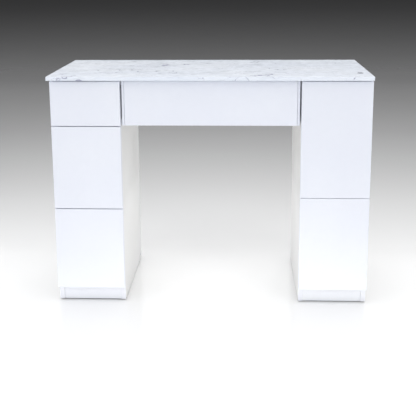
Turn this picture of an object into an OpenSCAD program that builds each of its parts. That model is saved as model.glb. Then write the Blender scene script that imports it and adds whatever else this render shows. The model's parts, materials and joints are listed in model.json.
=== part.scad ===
// Manicure table: stone top on two handle-less pedestals, with a drawer
// between them. Origin on the floor, under the middle of the top.
// +X to the right, +Y away from the drawer side, +Z up. Millimetres.

/* [Overall] */
// Width of the stone top, left to right
table_w = 1067; // [1040:1:1120]
// Depth of the stone top, front to back
table_d = 508; // [500:1:530]
// Height of the work surface above the floor
table_h = 787; // [780:1:800]

/* [Stone top] */
// Thickness of the slab
top_t = 13; // [11:1:16]
// Slab overhang past the left pedestal
over_left = 8; // [3:0.5:20]
// Slab overhang past the right pedestal
over_right = 0.5; // [0.5:0.5:15]
// Slab overhang past the pedestal fronts
over_front = 17; // [8:0.5:20]
// Radius of the slab's upright corners
corner_r = 3; // [1:0.5:8]
// Thickness of the silicone pads under the slab
pad_t = 2; // [1:0.5:3]

/* [Cable grommet] */
// Distance of the grommet's centre from the slab's right edge
grommet_in = 33.5; // [30:0.5:36]
// Distance of the grommet's centre from the slab's front edge
grommet_back = 102; // [95:1:150]
// Radius of the grommet's clear hole
grommet_r = 6.5; // [5:0.25:6.75]

/* [Pedestals] */
// Width of each pedestal
ped_w = 231; // [225:1:245]
// Depth of the carcass boards behind the fronts
carcass_d = 452; // [445:1:460]
// Thickness of the carcass boards
board_t = 16; // [15:0.5:18]
// Thickness of the pedestal backs
back_t = 9; // [6:1:9]
// Height of the glides that the side boards stand on
glide_h = 4; // [3:0.5:6]
// How far the plinth board sits behind the side boards
plinth_in = 3.5; // [1:0.5:10]

/* [Fronts] */
// Thickness of the drawer fronts and the door
front_t = 18; // [18:0.5:19]
// Gap between a closed front and the carcass
seat_gap = 3.8; // [3.6:0.1:5]
// Gap between one front and the next
reveal = 3; // [2:0.5:4]
// Gap between the door and the drawer under it
reveal_right = 1.8; // [1.2:0.2:3]
// Height of the lowest edge of the fronts
front_z0 = 54; // [52:1:60]
// Gap between the fronts and the slab
top_reveal = 4.5; // [3:0.5:6]
// Height of the joint between the top and middle left drawers
split_top = 620; // [612:1:626]
// Height of the joint between the middle and bottom left drawers
split_mid = 336.5; // [325:0.5:345]
// Height of the joint between the right door and drawer
split_right = 377.5; // [370:0.5:385]

/* [Centre drawer] */
// How far the centre front sits behind the pedestal fronts
centre_back = 11.5; // [8:0.5:14]
// Gap between the drawer's housing and each pedestal
centre_gap = 4.8; // [3:0.1:6]
// Thickness of the housing's side cheeks
cheek_t = 8; // [7:0.5:9]
// Gap between the centre front and each cheek
cheek_gap = 0.8; // [0.6:0.1:1.5]
// Height of the centre drawer's box boards
centre_box_h = 85; // [60:1:86]

/* [Drawer boxes] */
// Thickness of the drawer box boards
box_t = 12; // [10:1:15]
// Thickness of the drawer bottoms
bottom_t = 5; // [4:0.5:6]
// Length of the drawer boxes and slides
slide_l = 400; // [350:10:400]

/* [Hinges and latches] */
// Radius of the hinge cups
cup_r = 17.5; // [17.5:0.5:17.5]
// Thickness of the shelf in the right pedestal
shelf_t = 16; // [12:1:18]
// Height of the underside of the shelf
shelf_z = 570; // [550:5:610]

/* [Hidden] */
$fn = 48;

white = [0.93, 0.94, 0.96];
board_white = [0.92, 0.92, 0.91];
zinc = [0.72, 0.73, 0.75];
black = [0.06, 0.06, 0.07];
grey = [0.55, 0.56, 0.58];

// Upright planes
top_x0 = -table_w / 2;
top_x1 = table_w / 2;
top_y0 = -table_d / 2;
top_y1 = table_d / 2;
lx0 = top_x0 + over_left;
lx1 = lx0 + ped_w;
rx1 = top_x1 - over_right;
rx0 = rx1 - ped_w;
face_y = top_y0 + over_front;
seat_y = face_y + front_t;
body_y0 = seat_y + seat_gap;
body_y1 = body_y0 + carcass_d;
back_y = body_y1 - back_t;

// Levels
slab_z = table_h - top_t;
body_z1 = slab_z - pad_t;
panel_z = body_z1 - board_t;
base_z0 = front_z0 + 2;
base_z1 = base_z0 + board_t;
front_z1 = slab_z - top_reveal;

// Centre front
c_face = face_y + centre_back;
c_seat = c_face + front_t;
cheek_x0 = lx1 + centre_gap;
cheek_x1 = rx0 - centre_gap;
inner_x0 = cheek_x0 + cheek_t;
inner_x1 = cheek_x1 - cheek_t;
cx0 = inner_x0 + cheek_gap;
cx1 = inner_x1 - cheek_gap;
c_z0 = split_top + reveal / 2;

// Slides: 45 mm high, 12.7 mm thick
slide_t = 12.7;
slide_y0 = body_y0 + 3.2;
c_slide_y0 = c_seat + 4.5;

// Each drawer: inner faces of its opening, seat plane, box underside, box board height, slide centre height
L_TOP = [lx0 + board_t, lx1 - board_t, seat_y, 633, 92, 696];
L_MID = [lx0 + board_t, lx1 - board_t, seat_y, 352, 212, 408];
L_BOT = [lx0 + board_t, lx1 - board_t, seat_y, 84, 205, 140];
R_DRW = [rx0 + board_t, rx1 - board_t, seat_y, 84, 242, 140];
C_DRW = [inner_x0, inner_x1, c_seat, 633, centre_box_h, 675];

// Latches: board face, direction into the pedestal, height
LATCHES = [[lx0 + board_t, 1, 733], [lx0 + board_t, 1, 448], [lx0 + board_t, 1, 180],
           [rx0 + board_t, 1, 650], [rx0 + board_t, 1, 180]];
latch_r = 4.1;
plunger_r = 4;

// Hinges
hinge_zs = [split_right + reveal_right / 2 + 70, front_z1 - 70];
axis_x = rx1 - 7.8;
axis_y = seat_y - 8;
cup_x = rx1 - 4 - cup_r;
cup_deep = 11.5;

gx = top_x1 - grommet_in;
gy = top_y0 + grommet_back;

module bx(a, b) { translate(a) cube([b[0] - a[0], b[1] - a[1], b[2] - a[2]]); }

// A cylinder along Y, from y0 to y1
module ycyl(x, z, r, y0, y1) { translate([x, y1, z]) rotate([90, 0, 0]) cylinder(r = r, h = y1 - y0); }

// A cylinder along X, from x0 to x1
module xcyl(y, z, r, x0, x1) { translate([x0, y, z]) rotate([0, 90, 0]) cylinder(r = r, h = x1 - x0); }

// ---- stone top ----
module slab_outline() {
  translate([top_x0 + corner_r, top_y0]) square([table_w - 2 * corner_r, table_d]);
  translate([top_x0, top_y0 + corner_r]) square([table_w, table_d - 2 * corner_r]);
  for (x = [top_x0 + corner_r, top_x1 - corner_r], y = [top_y0 + corner_r, top_y1 - corner_r])
    translate([x, y]) circle(r = corner_r);
}

module stone_top() {
  color([0.93, 0.94, 0.96]) difference() {
    translate([0, 0, slab_z]) linear_extrude(top_t) slab_outline();
    translate([gx, gy, slab_z - 1]) cylinder(r = grommet_r + 1.6, h = top_t + 2);
    translate([gx, gy, table_h - 1.6]) cylinder(r = grommet_r + 4.1, h = 3);
  }
}

module cable_grommet() {
  color(black) difference() {
    union() {
      translate([gx, gy, table_h - 1.5]) cylinder(r = grommet_r + 4, h = 1.5);
      translate([gx, gy, panel_z]) cylinder(r = grommet_r + 1.5, h = table_h - panel_z);
    }
    translate([gx, gy, panel_z - 1]) cylinder(r = grommet_r, h = table_h - panel_z + 2);
  }
}

module top_pads() {
  color([0.85, 0.87, 0.88])
    for (x0 = [lx0, rx0], u = [8, ped_w - 8], y = [body_y0 + 40, body_y0 + 200, body_y1 - 40])
      translate([x0 + u, y, body_z1]) cylinder(r = 6, h = pad_t);
}

// ---- carcasses ----
// An upright side board between the faces x0 and x0 + board_t
module side_board(x0) {
  color(board_white) bx([x0, body_y0, glide_h], [x0 + board_t, body_y1, body_z1]);
}

// A level board between the sides of the pedestal that starts at x0
module level_board(x0, z0, z1) {
  color(board_white) bx([x0 + board_t, body_y0, z0], [x0 + ped_w - board_t, back_y, z1]);
}

module pedestal_back(x0) {
  color(board_white) bx([x0 + board_t, back_y, glide_h + 6], [x0 + ped_w - board_t, body_y1, body_z1]);
}

module plinth(x0) {
  color(white) bx([x0 + board_t, body_y0 + plinth_in, glide_h], [x0 + ped_w - board_t, body_y0 + plinth_in + board_t, base_z0]);
}

// The slot that a lead passes through, low at the back of the left pedestal
slot_r = 7;
slot_run = 30;
slot_y = body_y1 - 35;
slot_z = 15;

module left_inner_side() {
  color(board_white) difference() {
    bx([lx1 - board_t, body_y0, glide_h], [lx1, body_y1, body_z1]);
    for (u = [-1, 1]) xcyl(slot_y + u * slot_run / 2, slot_z, slot_r, lx1 - board_t - 1, lx1 + 1);
    bx([lx1 - board_t - 1, slot_y - slot_run / 2, slot_z - slot_r], [lx1 + 1, slot_y + slot_run / 2, slot_z + slot_r]);
  }
}

module right_top_panel() {
  color(board_white) difference() {
    bx([rx0 + board_t, body_y0, panel_z], [rx1 - board_t, back_y, body_z1]);
    translate([gx, gy, panel_z - 1]) cylinder(r = grommet_r + 1.9, h = board_t + 2);
  }
}

module right_shelf() {
  color(board_white) bx([rx0 + board_t + 1, body_y0 + 20, shelf_z], [rx1 - board_t - 1, back_y - 6, shelf_z + shelf_t]);
}

module shelf_pins() {
  color(zinc) for (y = [body_y0 + 70, back_y - 50]) {
    xcyl(y, shelf_z - 2.5, 2.5, rx0 + board_t - 8, rx0 + board_t + 9);
    xcyl(y, shelf_z - 2.5, 2.5, rx1 - board_t - 9, rx1 - board_t + 8);
  }
}

module glides() {
  color(black) for (x = [lx0 + board_t / 2, lx1 - board_t / 2, rx0 + board_t / 2, rx1 - board_t / 2], y = [body_y0 + 22, body_y1 - 65])
    translate([x, y, 0]) cylinder(r = 7.4, h = glide_h);
}

// ---- centre drawer's housing ----
apron_y0 = body_y1 - 34;
cheek_y0 = c_face + 0.6;
rail_y0 = c_seat + 40;

module centre_cheeks() {
  color(white) for (x = [cheek_x0, inner_x1]) bx([x, cheek_y0, c_z0], [x + cheek_t, apron_y0 + board_t, body_z1]);
}

module centre_stretcher() {
  color(board_white) bx([inner_x0, rail_y0, panel_z], [inner_x1, rail_y0 + 90, body_z1]);
}

module rear_apron() {
  color(white) bx([inner_x0, apron_y0, c_z0 + 1.5], [inner_x1, apron_y0 + board_t, body_z1]);
}

module bracket(x, s) {
  translate([s > 0 ? x : x - 2, rail_y0 + 25, panel_z - 20]) cube([2, 40, 20]);
  translate([s > 0 ? x : x - 22, rail_y0 + 25, panel_z - 2]) cube([22, 40, 2]);
}

module corner_brackets() { color(zinc) { bracket(inner_x0, 1); bracket(inner_x1, -1); } }

// Spacers between the housing and the pedestals: front edge, lower edge
low_z = c_z0 + 1.5;
high_z = panel_z - 22;
SPACERS_L = [[c_face + 12, body_z1 - 17], [c_face + 12, low_z], [apron_y0 - 60, high_z], [apron_y0 - 60, low_z]];
SPACERS_R = [[c_face + 50, high_z], [c_face + 50, low_z], [apron_y0 - 60, high_z], [apron_y0 - 60, low_z]];

module centre_spacers() {
  color(board_white) {
    for (p = SPACERS_L) bx([lx1, p[0], p[1]], [cheek_x0, p[0] + 40, p[1] + 17]);
    for (p = SPACERS_R) bx([cheek_x1, p[0], p[1]], [rx0, p[0] + 40, p[1] + 17]);
  }
}

module centre_screws() {
  color(zinc) {
    for (p = SPACERS_L) {
      xcyl(p[0] + 20, p[1] + 8.5, 4, inner_x0, inner_x0 + 2);
      xcyl(p[0] + 20, p[1] + 8.5, 2, lx1 - 12, inner_x0 + 1);
    }
    for (p = SPACERS_R) {
      xcyl(p[0] + 20, p[1] + 8.5, 4, inner_x1 - 2, inner_x1);
      xcyl(p[0] + 20, p[1] + 8.5, 2, inner_x1 - 1, rx0 + 12);
    }
  }
}

// ---- slides ----
// Each profile is drawn for a board face at x = 0, with the drawer at x = slide_t
OUTER = [[0, -22.8], [9.2, -22.8], [9.2, -20.6], [8.2, -20.6], [8.2, -21.6], [1.2, -21.6],
         [1.2, 21.6], [8.2, 21.6], [8.2, 20.6], [9.2, 20.6], [9.2, 22.8], [0, 22.8]];
MIDDLE = [[3.2, -19.6], [10.6, -19.6], [10.6, -17.2], [9.6, -17.2], [9.6, -18.4], [4.4, -18.4],
          [4.4, 18.4], [9.6, 18.4], [9.6, 17.2], [10.6, 17.2], [10.6, 19.6], [3.2, 19.6]];
INNER = [[12.7, -16], [12.7, 16], [6.2, 16], [6.2, 14.8], [11.5, 14.8], [11.5, -14.8], [6.2, -14.8], [6.2, -16]];
SCREW_YS = [35, 310];

module channel(profile, z, y0, y1) {
  translate([0, y1, z]) rotate([90, 0, 0]) linear_extrude(y1 - y0) polygon(profile);
}

// The same piece at both sides of an opening
module pair(d) {
  translate([d[0], 0, 0]) children();
  translate([d[1], 0, 0]) mirror([1, 0, 0]) children();
}

function slide_start(d) = d[2] == c_seat ? c_slide_y0 : slide_y0;

module cabinet_member(d) {
  y0 = slide_start(d);
  pair(d) difference() {
    channel(OUTER, d[5], y0, y0 + slide_l);
    for (u = SCREW_YS) xcyl(y0 + u, d[5], 2, -1, 3);
  }
}

module slide_cabinet_members() { color(zinc) for (d = [L_TOP, L_MID, L_BOT, R_DRW, C_DRW]) cabinet_member(d); }

module slide_screws() {
  color(zinc) for (d = [L_TOP, L_MID, L_BOT, R_DRW, C_DRW]) pair(d) for (u = SCREW_YS) {
    xcyl(slide_start(d) + u, d[5], 3.8, 1.2, 2.7);
    xcyl(slide_start(d) + u, d[5], 1.8, d[2] == c_seat ? -6 : -10, 1.7);
  }
}

module slide_middle(d) { color(zinc) pair(d) channel(MIDDLE, d[5], slide_start(d), slide_start(d) + slide_l); }

module runners(d) { color(zinc) pair(d) channel(INNER, d[5], slide_start(d), slide_start(d) + slide_l - 4); }

// ---- drawers ----
module box_boards(d) {
  x0 = d[0] + slide_t; x1 = d[1] - slide_t; y0 = d[2]; y1 = d[2] + slide_l; z0 = d[3] + bottom_t; z1 = z0 + d[4];
  color(board_white) {
    bx([x0, y0, z0], [x0 + box_t, y1, z1]);
    bx([x1 - box_t, y0, z0], [x1, y1, z1]);
    bx([x0 + box_t, y0, z0], [x1 - box_t, y0 + box_t, z1]);
    bx([x0 + box_t, y1 - box_t, z0], [x1 - box_t, y1, z1]);
  }
}

module drawer_bottom(d) {
  color(board_white) bx([d[0] + slide_t, d[2], d[3]], [d[1] - slide_t, d[2] + slide_l, d[3] + bottom_t]);
}

module ped_front(x0, z0, z1) { color(white) bx([x0, face_y, z0], [x0 + ped_w, seat_y, z1]); }

module centre_front() { color(white) bx([cx0, c_face, c_z0], [cx1, c_seat, front_z1]); }

// ---- latches ----
module latch_housings() {
  color(grey) for (p = LATCHES) difference() {
    bx([p[0], body_y0 + 1.2, p[2] - 7], [p[0] + 11, body_y0 + 59, p[2] + 7]);
    ycyl(p[0] + 5.5, p[2], latch_r, body_y0, body_y0 + 53);
  }
}

module plunger(p) { color(grey) ycyl(p[0] + 5.5, p[2], plunger_r, seat_y + 0.3, body_y0 + 46); }

// ---- door ----
module right_door_panel() {
  color(white) difference() {
    bx([rx0, face_y, split_right + reveal_right / 2], [rx1, seat_y, front_z1]);
    for (z = hinge_zs) ycyl(cup_x, z, cup_r + 0.1, seat_y - cup_deep - 0.1, seat_y + 1);
  }
}

module hinge_cups() {
  color(zinc) for (z = hinge_zs) difference() {
    union() {
      ycyl(cup_x, z, cup_r, seat_y - cup_deep, seat_y);
      ycyl(cup_x, z, cup_r + 1.5, seat_y, seat_y + 1);
      bx([cup_x - 7, seat_y, z - 27], [cup_x + 7, seat_y + 1, z + 27]);
    }
    ycyl(cup_x, z, cup_r - 1, seat_y - cup_deep + 0.8, seat_y + 2);
    translate([axis_x, axis_y, z - 12]) cylinder(r = 1, h = 24);
  }
}

module hinge_pins() {
  color(zinc) for (z = hinge_zs) translate([axis_x, axis_y, z - 10]) cylinder(r = 1, h = 20);
}

module hinge_arms() {
  color(zinc) for (z = hinge_zs) {
    ax = cup_x - 2.5;
    bx([rx1 - board_t - 2, body_y0 + 18, z - 20], [rx1 - board_t, body_y0 + 58, z + 20]);
    difference() {
      union() {
        bx([ax - 1.25, body_y0 + 20, z - 6], [rx1 - board_t - 2, body_y0 + 56, z + 6]);
        bx([ax - 1.25, axis_y - 1, z - 5], [ax + 1.25, body_y0 + 21, z + 5]);
        bx([ax - 1.25, axis_y - 1, z - 3.5], [axis_x, axis_y + 1, z + 3.5]);
        translate([axis_x, axis_y, z - 3.5]) cylinder(r = 2, h = 7);
      }
      translate([axis_x, axis_y, z - 5]) cylinder(r = 1.05, h = 10);
    }
  }
}

stone_top();
cable_grommet();
top_pads();
side_board(lx0);  // left_outer_side
left_inner_side();
level_board(lx0, panel_z, body_z1);  // left_top_panel
side_board(rx1 - board_t);  // right_outer_side
side_board(rx0);  // right_inner_side
right_top_panel();
level_board(rx0, split_right - board_t / 2, split_right + board_t / 2);  // right_divider
right_shelf();
shelf_pins();
for (x = [lx0, rx0]) level_board(x, base_z0, base_z1);  // base_panels
for (x = [lx0, rx0]) pedestal_back(x);  // back_panels
for (x = [lx0, rx0]) plinth(x);  // plinths
glides();
centre_cheeks();
centre_stretcher();
rear_apron();
corner_brackets();
centre_spacers();
centre_screws();
slide_cabinet_members();
slide_screws();
latch_housings();
hinge_arms();

ped_front(lx0, split_top + reveal / 2, front_z1);  // left_top_front
box_boards(L_TOP);  // left_top_box
drawer_bottom(L_TOP);  // left_top_bottom
runners(L_TOP);  // left_top_runners
slide_middle(L_TOP);  // left_top_slide_middle

ped_front(lx0, split_mid + reveal / 2, split_top - reveal / 2);  // left_middle_front
box_boards(L_MID);  // left_middle_box
drawer_bottom(L_MID);  // left_middle_bottom
runners(L_MID);  // left_middle_runners
slide_middle(L_MID);  // left_middle_slide_middle

ped_front(lx0, front_z0, split_mid - reveal / 2);  // left_bottom_front
box_boards(L_BOT);  // left_bottom_box
drawer_bottom(L_BOT);  // left_bottom_bottom
runners(L_BOT);  // left_bottom_runners
slide_middle(L_BOT);  // left_bottom_slide_middle

centre_front();
box_boards(C_DRW);  // centre_box
drawer_bottom(C_DRW);  // centre_bottom
runners(C_DRW);  // centre_runners
slide_middle(C_DRW);  // centre_slide_middle

ped_front(rx0, front_z0, split_right - reveal_right / 2);  // right_drawer_front
box_boards(R_DRW);  // right_drawer_box
drawer_bottom(R_DRW);  // right_drawer_bottom
runners(R_DRW);  // right_drawer_runners
slide_middle(R_DRW);  // right_drawer_slide_middle

right_door_panel();
hinge_cups();
hinge_pins();

plunger(LATCHES[0]);  // left_top_plunger
plunger(LATCHES[1]);  // left_middle_plunger
plunger(LATCHES[2]);  // left_bottom_plunger
plunger(LATCHES[3]);  // right_door_plunger
plunger(LATCHES[4]);  // right_drawer_plunger
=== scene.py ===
import json
import math

import bmesh
import bpy
from mathutils import Matrix, Vector


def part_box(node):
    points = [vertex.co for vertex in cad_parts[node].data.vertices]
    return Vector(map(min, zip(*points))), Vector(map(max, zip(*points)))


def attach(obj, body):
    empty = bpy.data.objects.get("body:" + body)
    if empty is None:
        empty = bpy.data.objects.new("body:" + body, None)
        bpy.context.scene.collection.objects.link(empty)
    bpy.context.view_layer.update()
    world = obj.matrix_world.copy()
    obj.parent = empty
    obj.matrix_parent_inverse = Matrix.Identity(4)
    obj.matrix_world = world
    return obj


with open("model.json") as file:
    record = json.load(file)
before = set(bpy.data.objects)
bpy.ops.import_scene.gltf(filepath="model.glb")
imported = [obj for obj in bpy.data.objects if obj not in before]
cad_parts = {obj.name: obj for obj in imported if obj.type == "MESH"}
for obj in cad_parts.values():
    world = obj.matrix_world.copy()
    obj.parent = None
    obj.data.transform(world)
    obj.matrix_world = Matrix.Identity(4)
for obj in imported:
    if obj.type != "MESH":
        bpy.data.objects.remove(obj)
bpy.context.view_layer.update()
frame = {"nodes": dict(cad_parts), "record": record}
nodes = frame["nodes"]
record = frame["record"]
slot_of = {s["node"]: s["material_slot"] for s in record["subparts"]}

scene = bpy.context.scene
scene.view_settings.view_transform = "Standard"
scene.view_settings.look = "None"
scene.view_settings.exposure = 0.0
scene.view_settings.gamma = 1.0


def lin(r, g, b):
    """8-bit sRGB to a linear colour."""
    out = []
    for c in (r, g, b):
        c /= 255.0
        out.append(c / 12.92 if c <= 0.04045 else ((c + 0.055) / 1.055) ** 2.4)
    return (*out, 1.0)


# ---------------------------------------------------------------- materials
class Mat:
    """A Principled material with small helpers for noise, ramps and bump."""

    def __init__(self, name):
        self.m = bpy.data.materials.new(name)
        self.m.use_nodes = True
        self.t = self.m.node_tree
        self.t.nodes.clear()
        self.out = self.t.nodes.new("ShaderNodeOutputMaterial")
        self.b = self.t.nodes.new("ShaderNodeBsdfPrincipled")
        self.t.links.new(self.b.outputs[0], self.out.inputs[0])
        self.co = self.t.nodes.new("ShaderNodeTexCoord").outputs["Object"]

    def link(self, a, b):
        self.t.links.new(a, b)

    def put(self, a, socket):
        if isinstance(a, bpy.types.NodeSocket):
            self.link(a, socket)
        else:
            socket.default_value = a

    def scaled(self, v, co=None):
        n = self.t.nodes.new("ShaderNodeMapping")
        n.inputs["Scale"].default_value = v
        self.link(co or self.co, n.inputs["Vector"])
        return n.outputs[0]

    def noise(self, scale, detail=3.0, rough=0.5, co=None, distortion=0.0, out="Fac"):
        n = self.t.nodes.new("ShaderNodeTexNoise")
        n.inputs["Scale"].default_value = scale
        n.inputs["Detail"].default_value = detail
        n.inputs["Roughness"].default_value = rough
        n.inputs["Distortion"].default_value = distortion
        self.link(co or self.co, n.inputs["Vector"])
        return n.outputs[out]

    def voronoi(self, scale, co=None, feature="F1", out="Distance"):
        n = self.t.nodes.new("ShaderNodeTexVoronoi")
        n.feature = feature
        n.inputs["Scale"].default_value = scale
        self.link(co or self.co, n.inputs["Vector"])
        return n.outputs[out]

    def math(self, op, a, b=0.0, c=0.0, clamp=False):
        n = self.t.nodes.new("ShaderNodeMath")
        n.operation = op
        n.use_clamp = clamp
        for i, v in enumerate((a, b, c)):
            self.put(v, n.inputs[i])
        return n.outputs[0]

    def ramp(self, fac, lo, hi, a=0.0, b=1.0, smooth=True):
        n = self.t.nodes.new("ShaderNodeMapRange")
        n.interpolation_type = "SMOOTHSTEP" if smooth else "LINEAR"
        self.link(fac, n.inputs["Value"])
        n.inputs["From Min"].default_value = lo
        n.inputs["From Max"].default_value = hi
        n.inputs["To Min"].default_value = a
        n.inputs["To Max"].default_value = b
        return n.outputs[0]

    def mix(self, fac, a, b):
        n = self.t.nodes.new("ShaderNodeMix")
        n.data_type = "RGBA"
        self.put(fac, n.inputs[0])
        self.put(a, n.inputs[6])
        self.put(b, n.inputs[7])
        return n.outputs[2]

    def warp(self, co, by, amount):
        n = self.t.nodes.new("ShaderNodeVectorMath")
        n.operation = "MULTIPLY_ADD"
        self.link(by, n.inputs[0])
        n.inputs[1].default_value = (amount,) * 3
        self.link(co, n.inputs[2])
        return n.outputs[0]

    def bump(self, height, distance, strength=1.0, normal=None):
        n = self.t.nodes.new("ShaderNodeBump")
        n.inputs["Strength"].default_value = strength
        n.inputs["Distance"].default_value = distance
        self.link(height, n.inputs["Height"])
        if normal is not None:
            self.link(normal, n.inputs["Normal"])
        return n.outputs[0]

    def set(self, **k):
        names = {"color": "Base Color", "rough": "Roughness", "metal": "Metallic", "spec": "Specular IOR Level",
                 "coat": "Coat Weight", "coat_rough": "Coat Roughness", "ior": "IOR", "normal": "Normal",
                 "trans": "Transmission Weight", "sss": "Subsurface Weight"}
        for a, v in k.items():
            self.put(v, self.b.inputs[names[a]])
        return self.m


def quartz(name):
    m = Mat(name)
    flow = m.scaled((1.0, 1.35, 1.2))
    drift = m.noise(2.1, 4.0, 0.6, flow, out="Color")
    fray = m.noise(24.0, 3.0, 0.6, flow, out="Color")
    co = m.warp(m.warp(flow, drift, 0.55), fray, 0.016)
    co2 = m.warp(m.warp(flow, drift, -0.42), fray, -0.014)
    # long fine veins: the middle level of a slow field, faded in and out along their run
    field = m.noise(2.7, 3.0, 0.5, co)
    off = m.math("ABSOLUTE", m.math("SUBTRACT", field, 0.5))
    run = m.ramp(m.noise(5.2, 3.0, 0.6, co2), 0.43, 0.58)
    line = m.math("MULTIPLY", m.ramp(off, 0.0, 0.0062, 1.0, 0.0), run)
    # shorter branches
    field2 = m.noise(6.6, 4.0, 0.55, co2)
    off2 = m.math("ABSOLUTE", m.math("SUBTRACT", field2, 0.51))
    run2 = m.ramp(m.noise(7.5, 3.0, 0.6, co), 0.50, 0.62)
    line2 = m.math("MULTIPLY", m.ramp(off2, 0.0, 0.0072, 1.0, 0.0), run2)
    # hair veins
    field3 = m.noise(15.0, 3.0, 0.5, co)
    off3 = m.math("ABSOLUTE", m.math("SUBTRACT", field3, 0.5))
    run3 = m.ramp(m.noise(9.0, 2.0, 0.5, flow), 0.54, 0.68)
    line3 = m.math("MULTIPLY", m.math("MULTIPLY", m.ramp(off3, 0.0, 0.009, 1.0, 0.0), run3), 0.6)
    vein = m.math("MAXIMUM", m.math("MAXIMUM", line, m.math("MULTIPLY", line2, 0.85)), line3)
    halo = m.math("MULTIPLY", m.ramp(off, 0.0, 0.040, 1.0, 0.0), run)
    cloud = m.ramp(m.noise(3.4, 4.0, 0.6, co), 0.36, 0.68)
    base = m.mix(cloud, lin(232, 238, 249), lin(240, 245, 253))
    base = m.mix(m.math("MULTIPLY", halo, 0.22), base, lin(200, 208, 216))
    grains = m.ramp(m.noise(900.0, 1.0, 0.5), 0.35, 0.7)
    base = m.mix(m.math("MULTIPLY", grains, 0.05), base, lin(206, 212, 220))
    tone = m.mix(m.noise(18.0, 2.0, 0.5), lin(114, 113, 138), lin(148, 146, 180))
    colour = m.mix(m.math("MULTIPLY", vein, 0.85), base, tone)
    rough = m.ramp(m.noise(45.0, 3.0, 0.6), 0.3, 0.7, 0.16, 0.24)
    h = m.noise(260.0, 2.0, 0.5)
    return m.set(color=colour, rough=rough, spec=0.32, coat=0.10, coat_rough=0.10, normal=m.bump(h, 0.00006, 0.35))


def lacquer(name, edge=False, a=(234, 237, 247), b=(238, 241, 249)):
    m = Mat(name)
    cloud = m.ramp(m.noise(2.4, 3.0, 0.5), 0.3, 0.7)
    base = m.mix(cloud, lin(*a), lin(*b))
    fine = m.ramp(m.noise(55.0, 4.0, 0.6), 0.35, 0.75)
    base = m.mix(m.math("MULTIPLY", fine, 0.10), base, lin(224, 228, 238))
    if edge:
        rub = m.ramp(m.noise(34.0, 5.0, 0.7), 0.56, 0.70)
        base = m.mix(m.math("MULTIPLY", rub, 0.30), base, lin(214, 214, 216))
    rough = m.ramp(m.noise(9.0, 4.0, 0.65), 0.3, 0.75, 0.30, 0.42)
    # sprayed finish: a soft orange peel over slower waviness of the board
    peel = m.noise(420.0, 2.0, 0.45)
    wave = m.noise(14.0, 2.0, 0.4)
    n = m.bump(wave, 0.0006, 0.16)
    n = m.bump(peel, 0.00009, 0.4, n)
    return m.set(color=base, rough=rough, spec=0.45, coat=0.12, coat_rough=0.22, normal=n)


def melamine(name, warm=(241, 241, 240), cool=(246, 246, 246), edge=False, pearl=1.0):
    m = Mat(name)
    base = m.mix(m.ramp(m.noise(3.0, 3.0, 0.5), 0.3, 0.7), lin(*warm), lin(*cool))
    speck = m.ramp(m.noise(140.0, 3.0, 0.6), 0.55, 0.8)
    base = m.mix(m.math("MULTIPLY", speck, 0.12), base, lin(226, 226, 226))
    # the banded front edges are a cooler white than the board faces
    sep = m.t.nodes.new("ShaderNodeSeparateXYZ")
    m.link(m.t.nodes.new("ShaderNodeTexCoord").outputs["Normal"], sep.inputs[0])
    band = m.ramp(sep.outputs[1], -0.95, -0.75, 1.0, 0.0)
    base = m.mix(band, base, m.mix(m.noise(16.0, 3.0, 0.5), lin(241, 243, 250), lin(245, 246, 252)))
    if edge:
        rub = m.ramp(m.noise(60.0, 5.0, 0.7), 0.54, 0.72)
        base = m.mix(m.math("MULTIPLY", rub, 0.45), base, lin(206, 200, 190))
    rough = m.ramp(m.noise(12.0, 4.0, 0.6), 0.3, 0.7, 0.40, 0.54)
    grain = m.noise(1.0, 4.0, 0.6, m.scaled((1500.0, 700.0, 700.0)))
    pits = m.ramp(m.voronoi(900.0), 0.0, 0.5)
    n = m.bump(grain, 0.00006 * pearl, 0.35)
    n = m.bump(pits, 0.00004 * pearl, 0.3, n)
    return m.set(color=base, rough=rough, spec=0.4, normal=n)


def hardboard(name, edge=False):
    m = Mat(name)
    if edge:
        fibre = m.noise(1.0, 5.0, 0.7, m.scaled((260.0, 260.0, 1800.0)))
        base = m.mix(fibre, lin(150, 116, 82), lin(196, 160, 118))
        return m.set(color=base, rough=m.ramp(fibre, 0.3, 0.7, 0.7, 0.9), spec=0.25, normal=m.bump(fibre, 0.0001, 0.6))
    base = m.mix(m.ramp(m.noise(5.0, 4.0, 0.55), 0.3, 0.7), lin(232, 230, 226), lin(242, 241, 238))
    speck = m.ramp(m.noise(320.0, 2.0, 0.6), 0.6, 0.8)
    base = m.mix(m.math("MULTIPLY", speck, 0.2), base, lin(206, 202, 194))
    n = m.bump(m.noise(700.0, 3.0, 0.6), 0.00006, 0.45)
    return m.set(color=base, rough=m.ramp(m.noise(20.0, 3.0, 0.6), 0.3, 0.7, 0.46, 0.6), spec=0.35, normal=n)


def zinc(name, edge=False, grain=(60.0, 6.0, 60.0)):
    m = Mat(name)
    streak = m.noise(1.0, 5.0, 0.65, m.scaled(tuple(20.0 * g for g in grain)))
    spangle = m.voronoi(160.0, out="Color")
    base = m.mix(m.ramp(streak, 0.3, 0.7), lin(178, 180, 184), lin(212, 214, 218))
    base = m.mix(0.07, base, spangle)
    dull = m.ramp(m.noise(26.0, 4.0, 0.6), 0.5, 0.75)
    base = m.mix(m.math("MULTIPLY", dull, 0.35), base, lin(168, 166, 160))
    if edge:
        # the bevelled edges are lightened: partly wear, partly a painted highlight along the edges
        base = m.mix(m.ramp(m.noise(90.0, 3.0, 0.6), 0.45, 0.7), base, lin(226, 228, 231))
    rough = m.ramp(m.noise(38.0, 5.0, 0.65), 0.3, 0.75, 0.24, 0.44)
    return m.set(color=base, rough=rough, metal=1.0, normal=m.bump(streak, 0.00005, 0.35))


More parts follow.
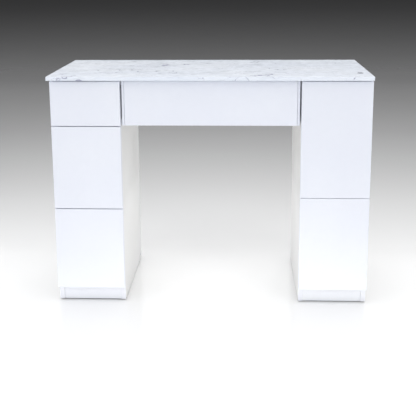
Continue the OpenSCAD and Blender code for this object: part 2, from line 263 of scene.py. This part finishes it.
def moulded(name, a, b, r0=0.42, r1=0.6, edge=False, spec=0.4):
    m = Mat(name)
    base = m.mix(m.ramp(m.noise(30.0, 3.0, 0.5), 0.3, 0.7), lin(*a), lin(*b))
    if edge:
        # the bevelled edges are lightened: partly scuffed wear, partly a painted highlight along the edges
        hi = tuple(min(255, c + 34) for c in b)
        base = m.mix(m.math("MULTIPLY", m.ramp(m.noise(120.0, 4.0, 0.7), 0.5, 0.7), 0.5), base, lin(*hi))
    rough = m.ramp(m.noise(60.0, 4.0, 0.6), 0.3, 0.7, r0, r1)
    n = m.bump(m.voronoi(1600.0), 0.00008, 0.5)
    return m.set(color=base, rough=rough, spec=spec, normal=n)


def silicone(name, edge=False):
    m = Mat(name)
    base = m.mix(m.ramp(m.noise(80.0, 3.0, 0.5), 0.3, 0.7), lin(214, 218, 220), lin(230, 233, 234))
    dust = m.ramp(m.noise(400.0, 2.0, 0.6), 0.62, 0.8)
    base = m.mix(m.math("MULTIPLY", dust, 0.3), base, lin(196, 196, 192))
    return m.set(color=base, rough=m.ramp(m.noise(70.0, 3.0, 0.5), 0.3, 0.7, 0.38, 0.55), spec=0.4,
                 sss=0.15, normal=m.bump(m.noise(500.0, 2.0, 0.5), 0.00005, 0.4))


FACE = {
    "stone": quartz("quartz"),
    "lacquer": lacquer("lacquer_satin"),
    "laminate": melamine("melamine"),
    "box_board": melamine("box_melamine", (238, 238, 235), (244, 244, 241)),
    "hardboard": hardboard("hardboard_white"),
    "zinc": zinc("zinc_plate"),
    "black_plastic": moulded("black_nylon", (8, 8, 10), (15, 15, 18), 0.6, 0.75, spec=0.01),
    "grey_plastic": moulded("grey_nylon", (138, 140, 144), (152, 154, 158)),
    "silicone": silicone("silicone_clear"),
}
EDGE = {
    "stone": FACE["stone"],
    "lacquer": lacquer("lacquer_edge", True),
    "laminate": melamine("melamine_edge", edge=True),
    "box_board": melamine("box_melamine_edge", (236, 236, 233), (242, 242, 239), edge=True),
    "hardboard": hardboard("hardboard_edge", True),
    "zinc": zinc("zinc_edge", True),
    "black_plastic": moulded("black_nylon_edge", (10, 10, 12), (19, 19, 22), 0.6, 0.75, edge=True, spec=0.015),
    "grey_plastic": moulded("grey_nylon_edge", (142, 144, 148), (158, 160, 164), edge=True),
    "silicone": FACE["silicone"],
}
WIDTH = {"stone": 0.0013, "lacquer": 0.0010, "laminate": 0.0005, "box_board": 0.0007, "hardboard": 0.0003,
         "zinc": 0.00022, "black_plastic": 0.0004, "grey_plastic": 0.0005, "silicone": 0.0003}
SEGMENTS = {"stone": 3, "lacquer": 3, "laminate": 2, "box_board": 2, "hardboard": 1, "zinc": 1,
            "black_plastic": 2, "grey_plastic": 2, "silicone": 1}

# painted light: a brighter copy of the lacquer for the recessed plinth, standing in for the floor's bounce light that
# its shade takes away
plinth_painted_bright = lacquer("lacquer_plinth_painted_bright", False, (246, 248, 254), (249, 251, 255))

for name, o in nodes.items():
    s = slot_of[name]
    o.data.materials.clear()
    # the plinths take the brighter painted-light copy of the lacquer
    o.data.materials.append(plinth_painted_bright if name == "plinths" else FACE[s])
    o.data.materials.append(EDGE[s])
    weld = o.modifiers.new("weld", "WELD")
    weld.merge_threshold = 0.00001
    flat = o.modifiers.new("planar", "DECIMATE")
    flat.decimate_type = "DISSOLVE"
    flat.angle_limit = math.radians(1.0)
    bevel = o.modifiers.new("bevel", "BEVEL")
    bevel.width = WIDTH[s]
    bevel.segments = SEGMENTS[s]
    bevel.limit_method = "ANGLE"
    bevel.angle_limit = math.radians(40.0)
    bevel.material = 1
    bevel.harden_normals = False
    bevel.use_clamp_overlap = True


# ---------------------------------------------------------------- added pieces
def make(name, bm, material, body, smooth_angle=35.0):
    bmesh.ops.recalc_face_normals(bm, faces=bm.faces[:])
    me = bpy.data.meshes.new(name)
    bm.to_mesh(me)
    bm.free()
    me.polygons.foreach_set("use_smooth", [True] * len(me.polygons))
    me.set_sharp_from_angle(angle=math.radians(smooth_angle))
    o = bpy.data.objects.new(name, me)
    scene.collection.objects.link(o)
    for m in material if isinstance(material, (list, tuple)) else [material]:
        me.materials.append(m)
    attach(o, body)
    return o


def turned(bm, rings, at, axis, n=20, closed=True):
    """Rings of (radius or function of angle, height) joined into a closed form along axis, standing at a point."""
    axis = Vector(axis).normalized()
    q = Vector((0, 0, 1)).rotation_difference(axis).to_matrix()
    at = Vector(at)
    rows = []
    for r, h in rings:
        row = []
        for i in range(n):
            a = 2 * math.pi * i / n
            rr = r(a) if callable(r) else r
            row.append(bm.verts.new(at + q @ Vector((rr * math.cos(a), rr * math.sin(a), h))))
        rows.append(row)
    for a, b in zip(rows, rows[1:]):
        for i in range(n):
            bm.faces.new((a[i], a[(i + 1) % n], b[(i + 1) % n], b[i]))
    if closed:
        bm.faces.new(rows[0][::-1])
        bm.faces.new(rows[-1])


def cross(r, turn=0.0):
    """Radius of a cross-slot recess at an angle."""
    def f(a):
        k = abs(math.cos(2 * (a + turn)))
        return r * (0.36 + 0.64 * k ** 3)
    return f


def pan_head(bm, at, axis, r=0.0038, h=0.0018, turn=0.3):
    """A domed screw head with a cross recess, its seat at a point."""
    rings = [(r, -0.0002), (r, h * 0.30), (r * 0.93, h * 0.62), (r * 0.76, h * 0.88), (cross(r * 0.60, turn), h),
             (cross(r * 0.46, turn), h * 0.42), (cross(r * 0.16, turn), h * 0.15)]
    turned(bm, rings, at, axis, 32)


def flat_head(bm, at, axis, r=0.0035, turn=0.5):
    """A countersunk screw head that stands a hair proud, with a cross recess."""
    rings = [(r * 0.94, -0.0003), (r, 0.0), (r * 0.97, 0.00022), (r * 0.8, 0.0003), (cross(r * 0.62, turn), 0.0003),
             (cross(r * 0.46, turn), -0.0001), (cross(r * 0.2, turn), -0.00025)]
    turned(bm, rings, at, axis, 32)


def plate(bm, lo, hi, bevel=0.0002):
    """A thin plate with softened edges."""
    lo, hi = Vector(lo), Vector(hi)
    made = bmesh.ops.create_cube(bm, size=1.0)
    vs = made["verts"]
    for v in vs:
        v.co = Vector(tuple(lo[i] + (v.co[i] + 0.5) * (hi[i] - lo[i]) for i in range(3)))
    es = list({e for v in vs for e in v.link_edges})
    bmesh.ops.bevel(bm, geom=es, offset=bevel, segments=2, affect="EDGES", profile=0.5)


steel = FACE["zinc"]
dark_steel = zinc("screw_steel", grain=(30.0, 30.0, 30.0))

# Each drawer: its body, its nodes' prefix
DRAWERS = {"left_top": "left_top_drawer", "left_middle": "left_middle_drawer", "left_bottom": "left_bottom_drawer",
           "centre": "centre_drawer", "right_drawer": "right_drawer"}
groups = record["behaviour"]["bodies"]

for key, body in DRAWERS.items():
    b0, b1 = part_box(key + "_box")
    wall = 0.012
    # Screws through the box's front board into the front, heads inside the drawer
    bm = bmesh.new()
    inner_y = b0.y + wall
    zs = (b0.z + 0.24 * (b1.z - b0.z), b0.z + 0.76 * (b1.z - b0.z))
    xs = [b0.x + 0.045, b1.x - 0.045]
    if key == "centre":
        xs = [b0.x + 0.05, (b0.x + b1.x) / 2, b1.x - 0.05]
    for i, x in enumerate(xs):
        for k, z in enumerate(zs):
            pan_head(bm, (x, inner_y, z), (0, 1, 0), turn=0.4 + 0.7 * i + 0.5 * k)
    make(key + "_front_screws", bm, dark_steel, body)

    # Screws that hold the drawer members of the slides
    r0, r1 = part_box(key + "_runners")
    zc = (r0.z + r1.z) / 2
    bm = bmesh.new()
    # the heads face the pedestal's sides, so they sit on the channel floor at each side
    for y in (r0.y + 0.030, r0.y + 0.190, r1.y - 0.035):
        for x, d in ((b0.x - 0.0012, -1), (b1.x + 0.0012, 1)):
            turned(bm, [(0.0030, -0.0001), (0.0030, 0.0004), (0.0026, 0.0008), (cross(0.0019, 0.3), 0.0008), (cross(0.0012, 0.3), 0.0003)],
                   (x, y, zc), (d, 0, 0), 24)
    make(key + "_runner_screws", bm, dark_steel, body)

    # Ball cages on the middle members: a strip with its balls above and below each member
    m0, m1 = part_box(key + "_slide_middle")
    zc = (m0.z + m1.z) / 2
    L = m1.y - m0.y
    bm = bmesh.new()
    side = [(b0.x - 0.0127, 1), (b1.x + 0.0127, -1)]
    for x0, s in side:
        for u, off, y_a, y_b in ((0.0060, 0.0206, m0.y + 0.53 * L, m0.y + 0.93 * L), (0.0080, 0.0171, m0.y + 0.06 * L, m0.y + 0.46 * L)):
            for sz in (-1, 1):
                xc = x0 + s * u
                zz = zc + sz * off
                plate(bm, (xc - 0.0011, y_a, zz - 0.00025), (xc + 0.0011, y_b, zz + 0.00025), 0.0001)
                n = 9
                for i in range(n):
                    y = y_a + (y_b - y_a) * (i + 0.5) / n
                    made = bmesh.ops.create_icosphere(bm, subdivisions=2, radius=0.00078)
                    bmesh.ops.translate(bm, verts=made["verts"], vec=(xc, y, zz))
    slide_body = [g for g, members in groups.items() if key + "_slide_middle" in members][0]
    make(key + "_ball_cages", bm, dark_steel, slide_body)

# Strike plates on the backs of the fronts, where the latch plungers touch
plungers = {"left_top_plunger": ("left_top_front", "left_top_drawer"), "left_middle_plunger": ("left_middle_front", "left_middle_drawer"),
            "left_bottom_plunger": ("left_bottom_front", "left_bottom_drawer"), "right_drawer_plunger": ("right_drawer_front", "right_drawer"),
            "right_door_plunger": ("right_door_panel", "right_door")}
for p, (front, body) in plungers.items():
    p0, p1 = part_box(p)
    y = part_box(front)[1].y
    bm = bmesh.new()
    turned(bm, [(0.0058, -0.0002), (0.0060, 0.0), (0.0060, 0.00012), (0.0057, 0.00018), (0.0018, 0.00018), (0.0012, 0.00004)],
           ((p0.x + p1.x) / 2, y, (p0.z + p1.z) / 2), (0, 1, 0), 32)
    make(p.replace("_plunger", "_strike_plate"), bm, steel, body)
    # the plunger's soft tip ring
    bm = bmesh.new()
    pb = [g for g, members in groups.items() if p in members][0]
    turned(bm, [(0.0036, 0.0), (0.00404, 0.0003), (0.00404, 0.0020), (0.00402, 0.0026), (0.0036, 0.0026)],
           ((p0.x + p1.x) / 2, p0.y + 0.0004, (p0.z + p1.z) / 2), (0, 1, 0), 28)
    make(p + "_tip", bm, FACE["black_plastic"], pb)

# Hinges: screws in the cup plates, the mounting plates and the arms
c0, c1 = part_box("hinge_cups")
a0, a1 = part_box("hinge_arms")
hz = [c0.z + 0.027, c1.z - 0.027]
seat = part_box("right_door_panel")[1].y
bm = bmesh.new()
cup_x = (c0.x + c1.x) / 2
for i, z in enumerate(hz):
    for s in (-1, 1):
        pan_head(bm, (cup_x, seat + 0.001, z + s * 0.0226), (0, 1, 0), 0.0033, 0.0013, 0.2 + i + s)
make("hinge_cup_screws", bm, dark_steel, "right_door")
bm = bmesh.new()
for i, z in enumerate(hz):
    for s in (-1, 1):
        pan_head(bm, (a1.x - 0.002, a1.y - 0.020, z + s * 0.0135), (-1, 0, 0), 0.0035, 0.0015, 0.7 * i + s)
    for y in (a1.y - 0.010, a1.y - 0.028):
        pan_head(bm, (a0.x + 0.0001, y, z), (-1, 0, 0), 0.0030, 0.0009, y * 90)
make("hinge_arm_screws", bm, dark_steel, "root")

# Screws through the back panels into the level boards, and through the brackets
k0, k1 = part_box("back_panels")
p0, p1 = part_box("left_top_panel")
q0, q1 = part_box("base_panels")
r0, r1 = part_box("right_top_panel")
d0, d1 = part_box("right_divider")
bm = bmesh.new()
for (xa, xb), zs in (((p0.x, p1.x), ((p0.z + p1.z) / 2, (q0.z + q1.z) / 2)), ((r0.x, r1.x), ((r0.z + r1.z) / 2, (d0.z + d1.z) / 2, (q0.z + q1.z) / 2))):
    for z in zs:
        for f in (0.16, 0.5, 0.84):
            flat_head(bm, (xa + (xb - xa) * f, k1.y, z), (0, 1, 0), 0.0036, 0.5 + 3 * f + z)
make("back_screws", bm, dark_steel, "root")

b0, b1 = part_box("corner_brackets")
bm = bmesh.new()
for x, s in ((b0.x, 1), (b1.x, -1)):
    for y in (b0.y + 0.010, b1.y - 0.010):
        pan_head(bm, (x + s * 0.002, y, b0.z + 0.009), (s, 0, 0), 0.0032, 0.0014, y * 70)
        pan_head(bm, (x + s * 0.013, y, b1.z - 0.002), (0, 0, -1), 0.0032, 0.0014, y * 50)
make("bracket_screws", bm, dark_steel, "root")


# ---------------------------------------------------------------- floor
def floor_material():
    m = Mat("floor_gloss")
    sep = m.t.nodes.new("ShaderNodeSeparateXYZ")
    m.link(m.co, sep.inputs[0])
    x, y = sep.outputs[0], sep.outputs[1]
    yy = m.math("ADD", y, 1.0)
    ax = m.math("ABSOLUTE", x)
    xx = m.math("MULTIPLY_ADD", m.math("MULTIPLY", ax, ax), 0.12, m.math("MULTIPLY", ax, 0.30))
    d = m.math("SQRT", m.math("ADD", m.math("MULTIPLY", xx, xx), m.math("MULTIPLY", yy, yy)))
    # painted light and shade: the floor's colour darkens with distance from a point in front of the table
    n = m.t.nodes.new("ShaderNodeValToRGB")
    # distance over 40 m, as a logarithm so that the near tones are well spaced
    t = m.math("DIVIDE", m.math("LOGARITHM", m.math("ADD", d, 1.0), math.e), math.log(41.0))
    m.link(t, n.inputs[0])
    stops = FLOOR_PAINTED_LIGHT_STOPS
    cr = n.color_ramp
    cr.interpolation = "LINEAR"
    while len(cr.elements) < len(stops):
        cr.elements.new(0.5)
    for e, (dist, g) in zip(cr.elements, stops):
        e.position = math.log(dist + 1.0) / math.log(41.0)
        e.color = (g, g, g * 1.0, 1.0)
    cloud = m.ramp(m.noise(0.9, 3.0, 0.5), 0.2, 0.8, 0.985, 1.0)
    c = m.mix(1.0, n.outputs[0], n.outputs[0])
    mul = m.t.nodes.new("ShaderNodeMix")
    mul.data_type = "RGBA"
    mul.blend_type = "MULTIPLY"
    mul.inputs[0].default_value = 1.0
    m.link(c, mul.inputs[6])
    m.link(cloud, mul.inputs[7])
    rough = m.ramp(m.noise(3.0, 3.0, 0.6), 0.3, 0.7, 0.085, 0.115)
    return m.set(color=mul.outputs[2], rough=rough, spec=0.35)


# painted light and shade: the floor's albedo falls with distance to stand in for the darkening studio background, and
# is raised between about 1.0 and 1.5 m to cancel the table's shadow between the pedestals
FLOOR_PAINTED_LIGHT_STOPS = [(0.0, 0.825), (0.8, 0.835), (1.05, 0.860), (1.24, 0.848), (1.42, 0.878), (1.62, 0.845), (1.85, 0.792), (2.11, 0.737), (2.51, 0.650), (3.0, 0.563), (3.44, 0.489),
               (3.96, 0.419), (4.58, 0.384), (5.35, 0.363), (6.31, 0.383), (7.56, 0.343), (9.25, 0.274), (11.6, 0.203), (13.9, 0.155), (17.0, 0.105), (21.6, 0.054), (27.4, 0.026), (40.0, 0.012)]

bm = bmesh.new()
R = [0.0, 1.5, 4.0, 10.0, 24.0, 60.0]
centre = bm.verts.new((0, 0, 0))
prev = None
for r in R[1:]:
    ring = [bm.verts.new((r * math.cos(2 * math.pi * i / 96), r * math.sin(2 * math.pi * i / 96), 0.0)) for i in range(96)]
    for i in range(96):
        j = (i + 1) % 96
        bm.faces.new((centre, ring[i], ring[j]) if prev is None else (prev[i], ring[i], ring[j], prev[j]))
    prev = ring
me = bpy.data.meshes.new("floor")
bm.to_mesh(me)
bm.free()
floor = bpy.data.objects.new("floor", me)
scene.collection.objects.link(floor)
floor.location = (0, 0, -0.0003)
me.materials.append(floor_material())

# ---------------------------------------------------------------- light
world = bpy.data.worlds.new("studio")
scene.world = world
world.use_nodes = True
wt = world.node_tree
wt.nodes.clear()
wo = wt.nodes.new("ShaderNodeOutputWorld")
bg = wt.nodes.new("ShaderNodeBackground")
wt.links.new(bg.outputs[0], wo.inputs[0])
tc = wt.nodes.new("ShaderNodeTexCoord")
sp = wt.nodes.new("ShaderNodeSeparateXYZ")
wt.links.new(tc.outputs["Generated"], sp.inputs[0])
wr = wt.nodes.new("ShaderNodeValToRGB")
wt.links.new(sp.outputs[2], wr.inputs[0])
wr.color_ramp.interpolation = "EASE"
els = wr.color_ramp.elements
els[0].position, els[0].color = 0.0, (0.045, 0.045, 0.046, 1)
els[1].position, els[1].color = 1.0, (1.25, 1.25, 1.25, 1)
e = els.new(0.12)
e.color = (0.060, 0.060, 0.062, 1)
e = els.new(0.26)
e.color = (0.11, 0.11, 0.113, 1)
e = els.new(0.52)
e.color = (1.0, 1.01, 1.03, 1)
wt.links.new(wr.outputs[0], bg.inputs[0])
bg.inputs[1].default_value = 0.76


def softbox(name, at, to, size, watts, colour=(1, 1, 1), mirrored=True, shadow=True):
    d = bpy.data.lights.new(name, "AREA")
    d.shape = "RECTANGLE"
    d.size, d.size_y = size
    d.energy = watts
    d.color = colour
    o = bpy.data.objects.new(name, d)
    scene.collection.objects.link(o)
    o.location = at
    o.rotation_euler = (Vector(to) - Vector(at)).to_track_quat("-Z", "Y").to_euler()
    o.visible_camera = False
    o.visible_glossy = mirrored
    d.use_shadow = shadow
    return o


softbox("key", (-2.9, -2.9, 2.5), (0, -0.1, 0.3), (2.4, 2.0), 28.5, (0.965, 0.982, 1.0))
softbox("fill", (2.9, -2.9, 2.5), (0, -0.1, 0.3), (2.4, 2.0), 30.5, (1.0, 0.988, 0.962))
softbox("front", (0.0, -3.9, 1.7), (0, 0.0, 0.3), (2.6, 1.6), 20.0, (0.98, 0.99, 1.0), mirrored=False)
softbox("top", (0.0, -0.2, 3.6), (0, -0.2, 0.0), (5.0, 4.0), 29)
softbox("top_soft", (0.0, -0.2, 3.5), (0, -0.2, 0.0), (5.0, 4.0), 25, mirrored=False, shadow=False)
softbox("rim", (0.0, 3.4, 1.15), (0, 0.2, 0.0), (3.2, 0.9), 3.5, mirrored=False)
softbox("back", (0.0, 4.4, 2.3), (0, 0.0, 0.5), (7.0, 1.5), 20, mirrored=False)
softbox("back_glow", (0.0, 4.6, 2.36), (0, 0.0, 0.5), (7.2, 1.6), 36)
softbox("knee", (0.0, 0.02, 0.36), (0, 0.02, 0.0), (0.5, 0.4), 0.28, mirrored=False)
# light thrown up by the white floor in front of the table
softbox("bounce", (0.0, -0.46, 0.004), (0, -0.46, 1.0), (1.3, 0.42), 1.3, (1.0, 0.99, 0.965), mirrored=False)

# ---------------------------------------------------------------- camera
# Place, turns and focal length (in widths of the frame)
X, Y, Z = 0.106995, -2.936359, 1.132780
YAW, PITCH, ROLL = -0.04140, 0.21506, 0.00551
FOCAL = 835.174 / 416.0
cp, sp_, cy_, sy_ = math.cos(PITCH), math.sin(PITCH), math.cos(YAW), math.sin(YAW)
fwd = Vector((sy_ * cp, cy_ * cp, -sp_))
right = Vector((cy_, -sy_, 0.0))
down = fwd.cross(right)
r2 = math.cos(ROLL) * right + math.sin(ROLL) * down
d2 = -math.sin(ROLL) * right + math.cos(ROLL) * down
cd = bpy.data.cameras.new("camera")
cam = bpy.data.objects.new("camera", cd)
scene.collection.objects.link(cam)
rot = Matrix((r2, -d2, -fwd)).transposed()
cam.matrix_world = Matrix.Translation((X, Y, Z)) @ rot.to_4x4()
cd.sensor_width = 36.0
cd.lens = FOCAL * 36.0
cd.shift_x = 0.0
cd.shift_y = -0.14
cd.clip_start, cd.clip_end = 0.05, 200.0
cd.dof.use_dof = False
scene.camera = cam
